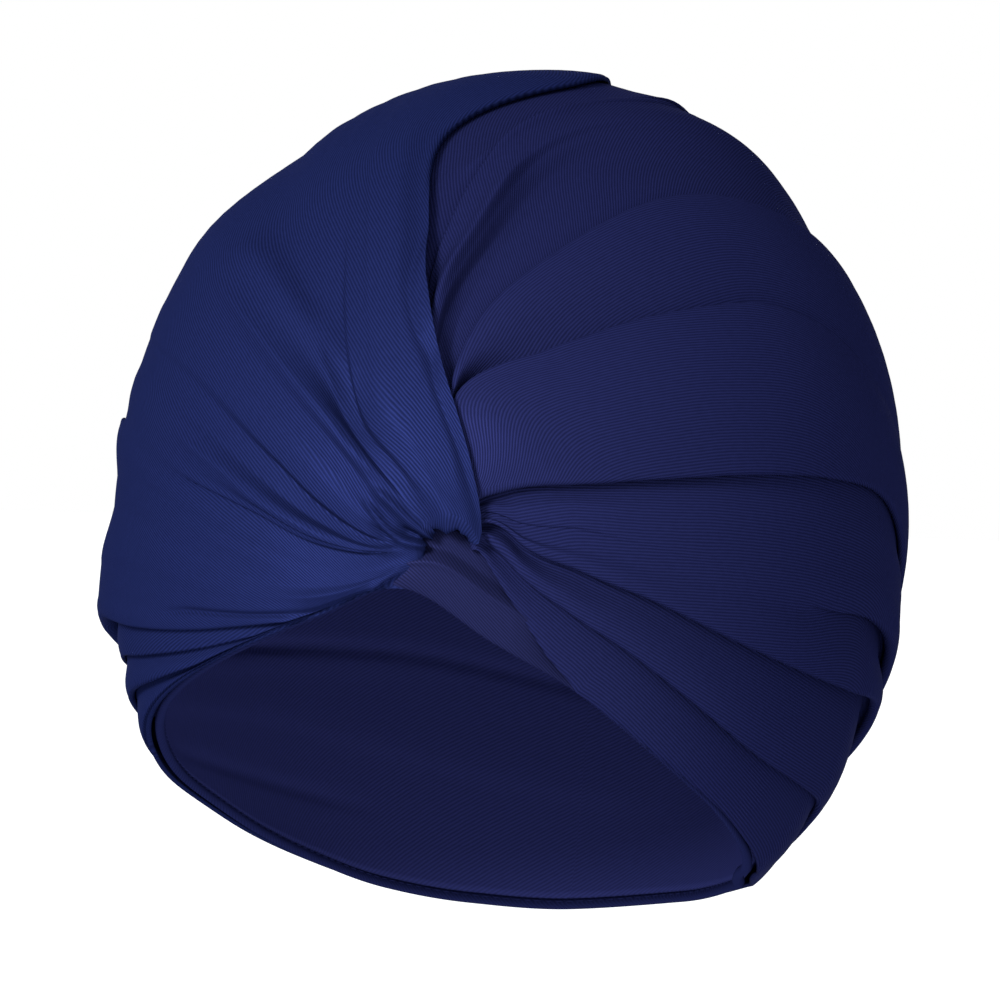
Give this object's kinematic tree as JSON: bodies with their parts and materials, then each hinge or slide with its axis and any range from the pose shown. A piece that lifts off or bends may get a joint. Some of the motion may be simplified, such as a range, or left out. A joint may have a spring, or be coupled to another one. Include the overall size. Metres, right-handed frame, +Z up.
{
  "type": "turban swim cap with a twist at the front",
  "caption": "Pull-on swim cap of stretch knit in turban form: a swept panel twisted over a pleated panel at the brow, on a plain lining with a rolled hem.",
  "frame": {"origin": "middle of the wearer's head at the level of the brow, where the cap grips", "axes": "+Z up to the crown, -Y towards the face, +X towards the wearer's left"},
  "size_m": [0.1791, 0.2192, 0.207],
  "materials": {
    "lining_knit": "matt stretch knit, dark blue",
    "hem_knit": "rolled stretch knit edge, dark blue",
    "band_knit": "stretch knit with a faint sheen, dark blue",
    "pleated_knit": "smooth stretch knit with fine ribs and a soft sheen, dark blue",
    "over_knit": "smooth stretch knit with fine ribs and a soft sheen, dark blue"
  },
  "bodies": {
    "root": {"lining": "lining_knit", "hem": "hem_knit", "brow_band": "band_knit", "pleated_panel": "pleated_knit", "over_panel": "over_knit"}
  },
  "joints": []
}
